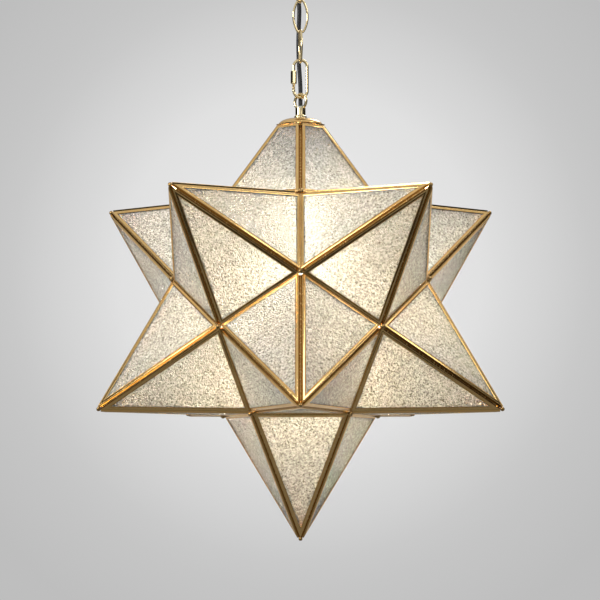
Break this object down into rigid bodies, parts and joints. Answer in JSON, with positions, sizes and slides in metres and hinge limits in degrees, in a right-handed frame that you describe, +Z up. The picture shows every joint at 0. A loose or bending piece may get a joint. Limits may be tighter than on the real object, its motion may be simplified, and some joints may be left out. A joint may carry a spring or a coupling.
{
  "type": "star pendant chandelier",
  "caption": "Twelve-pointed star pendant of textured glass panes in brass came, hung by a short chain from a domed canopy.",
  "frame": {"origin": "centre of the ceiling bracket's face that lies on the ceiling, midway between the two ceiling screws", "axes": "+Z up into the ceiling, +X along the bracket and to the right in the picture, -Y towards the viewer"},
  "size_m": [0.4038, 0.4244, 0.637],
  "materials": {
    "came_brass": "satin gold brass, lightly brushed",
    "polished_brass": "polished pale gold brass",
    "solder": "bright gilded solder",
    "textured_glass": "clear glass with a fine hammered texture",
    "cord_black": "black sheathed cord",
    "grommet_plastic": "milky soft plastic",
    "porcelain": "white glazed porcelain",
    "lamp_glass": "frosted bulb glass",
    "lamp_base": "rolled aluminium screw base",
    "bracket_steel": "zinc plated steel",
    "terminal_plastic": "white moulded plastic"
  },
  "bodies": {
    "ceiling": {"ceiling_bracket": "bracket_steel", "canopy": "came_brass", "canopy_nipple": "polished_brass", "canopy_nut": "polished_brass", "terminal_block": "terminal_plastic", "canopy_loop": "polished_brass", "canopy_grommet": "grommet_plastic", "power_cord": "cord_black"},
    "chain_link_3": {"chain_link_3": "polished_brass"},
    "chain_link_2": {"chain_link_2": "polished_brass"},
    "chain_link_1": {"chain_link_1": "polished_brass"},
    "quick_link": {"quick_link": "polished_brass"},
    "quick_link_nut": {"quick_link_nut": "polished_brass"},
    "star": {"star_grommet": "grommet_plastic", "star_loop": "polished_brass", "cap_dome": "came_brass", "cap_plate": "came_brass", "support_nipple": "polished_brass", "support_nut": "polished_brass", "holder_cap": "porcelain", "holder_skirt": "porcelain", "holder_shell": "polished_brass", "ridge_solder": "solder", "valley_solder": "solder", "corner_beads": "solder", "hinge_knuckles": "came_brass", "hinge_pin": "polished_brass", "top_frames": "came_brass", "top_panes": "textured_glass", "upper_left_front_frames": "came_brass", "upper_left_front_panes": "textured_glass", "upper_right_front_frames": "came_brass", "upper_right_front_panes": "textured_glass", "upper_left_side_frames": "came_brass", "upper_left_side_panes": "textured_glass", "upper_right_side_frames": "came_brass", "upper_right_side_panes": "textured_glass", "lower_front_frames": "came_brass", "lower_front_panes": "textured_glass", "lower_left_side_frames": "came_brass", "lower_left_side_panes": "textured_glass", "lower_right_side_frames": "came_brass", "lower_right_side_panes": "textured_glass", "lower_left_rear_frames": "came_brass", "lower_left_rear_panes": "textured_glass", "lower_right_rear_frames": "came_brass", "lower_right_rear_panes": "textured_glass", "bottom_frames": "came_brass", "bottom_panes": "textured_glass"},
    "door": {"door_frames": "came_brass", "door_panes": "textured_glass", "door_solder": "solder", "door_knuckle": "came_brass"},
    "bulb": {"bulb_glass": "lamp_glass", "bulb_base": "lamp_base"}
  },
  "joints": [
    {"name": "canopy_loop_swing", "type": "hinge", "parent": "ceiling", "child": "chain_link_3", "pos_m": [0, 0, -0.053], "axis": [0.9848, 0.1736, 0], "range_deg": [-25, 25], "deforming": ["power_cord"]},
    {"name": "link_3_swing", "type": "hinge", "parent": "chain_link_3", "child": "chain_link_2", "pos_m": [0, 0, -0.084], "axis": [-0.1736, 0.9848, 0], "range_deg": [-25, 25], "deforming": ["power_cord"]},
    {"name": "link_2_swing", "type": "hinge", "parent": "chain_link_2", "child": "chain_link_1", "pos_m": [0, 0, -0.11535], "axis": [0.9848, 0.1736, 0], "range_deg": [-25, 25], "deforming": ["power_cord"]},
    {"name": "link_1_swing", "type": "hinge", "parent": "chain_link_1", "child": "quick_link", "pos_m": [0, 0, -0.1467], "axis": [-0.1736, 0.9848, 0], "range_deg": [-25, 25], "deforming": ["power_cord"]},
    {"name": "star_swing", "type": "hinge", "parent": "quick_link", "child": "star", "pos_m": [0, 0, -0.183], "axis": [0.9848, 0.1736, 0], "range_deg": [-25, 25], "deforming": ["power_cord"]},
    {"name": "sleeve_nut_travel", "type": "slide", "parent": "quick_link", "child": "quick_link_nut", "axis": [0, 0, -1], "range_m": [0, 0.0055]},
    {"name": "door_hinge", "type": "hinge", "parent": "star", "child": "door", "pos_m": [0, 0.06894, -0.28831], "axis": [1, 0, 0], "range_deg": [0, 100]},
    {"name": "bulb_unscrew", "type": "slide", "parent": "star", "child": "bulb", "axis": [0, 0, -1], "range_m": [0, 0.025]}
  ]
}
